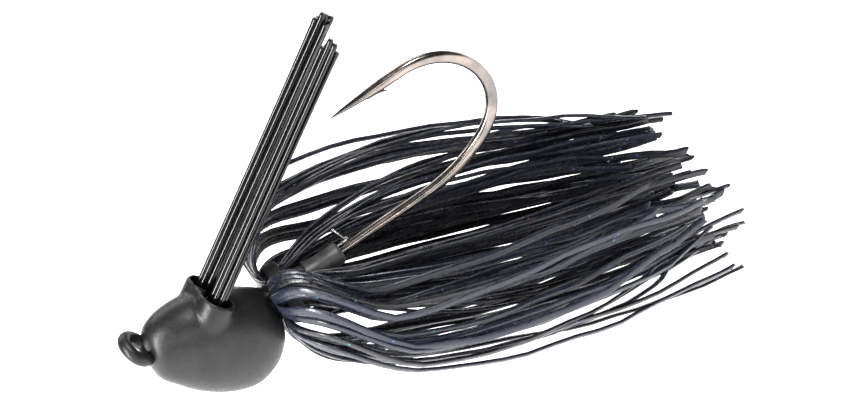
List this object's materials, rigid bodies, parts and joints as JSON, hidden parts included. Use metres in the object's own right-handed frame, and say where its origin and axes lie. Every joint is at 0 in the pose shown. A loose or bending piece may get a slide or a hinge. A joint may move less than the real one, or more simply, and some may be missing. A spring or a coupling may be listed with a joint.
{
  "type": "jig head",
  "caption": "Moulded bass jig head on a bent-eye hook, with a twin fibre weed guard, a trailer keeper and a folded silicone skirt.",
  "frame": {"origin": "centre of the line eye's hole", "axes": "+X from nose to tail along the hook's shank, +Z towards the hook's point, XZ the plane of the hook"},
  "size_m": [0.072, 0.0358, 0.0616],
  "materials": {
    "head_coat": "matt baked powder coat with a fine grain",
    "hook_steel": "polished black nickel",
    "keeper_body": "moulded, satin",
    "keeper_wire": "bright drawn spring wire",
    "guard_nylon": "glossy extruded nylon",
    "glue": "cured epoxy",
    "band_rubber": "matt rubber",
    "skirt_silicone": "silicone with a soft sheen and fine flake"
  },
  "bodies": {
    "jig": {"guard_glue_left": "glue", "guard_glue_right": "glue", "head": "head_coat", "hook": "hook_steel", "keeper_wire": "keeper_wire", "skirt_band": "band_rubber", "skirt_front_inner_keel": "skirt_silicone", "skirt_front_inner_left": "skirt_silicone", "skirt_front_inner_right": "skirt_silicone", "skirt_front_outer_keel": "skirt_silicone", "skirt_front_outer_left": "skirt_silicone", "skirt_front_outer_right": "skirt_silicone", "skirt_rear_inner_keel": "skirt_silicone", "skirt_rear_inner_left": "skirt_silicone", "skirt_rear_inner_right": "skirt_silicone", "skirt_rear_outer_keel": "skirt_silicone", "skirt_rear_outer_left": "skirt_silicone", "skirt_rear_outer_right": "skirt_silicone", "trailer_keeper": "keeper_body"},
    "guard_left": {"guard_bristle_left_1": "guard_nylon", "guard_bristle_left_2": "guard_nylon", "guard_bristle_left_3": "guard_nylon", "guard_bristle_left_4": "guard_nylon", "guard_bristle_left_5": "guard_nylon", "guard_bristle_left_6": "guard_nylon", "guard_bristle_left_7": "guard_nylon"},
    "guard_right": {"guard_bristle_right_1": "guard_nylon", "guard_bristle_right_2": "guard_nylon", "guard_bristle_right_3": "guard_nylon", "guard_bristle_right_4": "guard_nylon", "guard_bristle_right_5": "guard_nylon", "guard_bristle_right_6": "guard_nylon", "guard_bristle_right_7": "guard_nylon"}
  },
  "joints": [
    {"name": "guard_left_flex", "type": "hinge", "parent": "jig", "child": "guard_left", "pos_m": [0.0107, 0.00195, -0.00003], "axis": [0, 1, 0], "range_deg": [-10, 25], "stiffness_Nm_per_rad": 0.015},
    {"name": "guard_right_flex", "type": "hinge", "parent": "jig", "child": "guard_right", "pos_m": [0.0107, -0.00195, -0.00003], "axis": [0, 1, 0], "range_deg": [-10, 25], "stiffness_Nm_per_rad": 0.015}
  ]
}
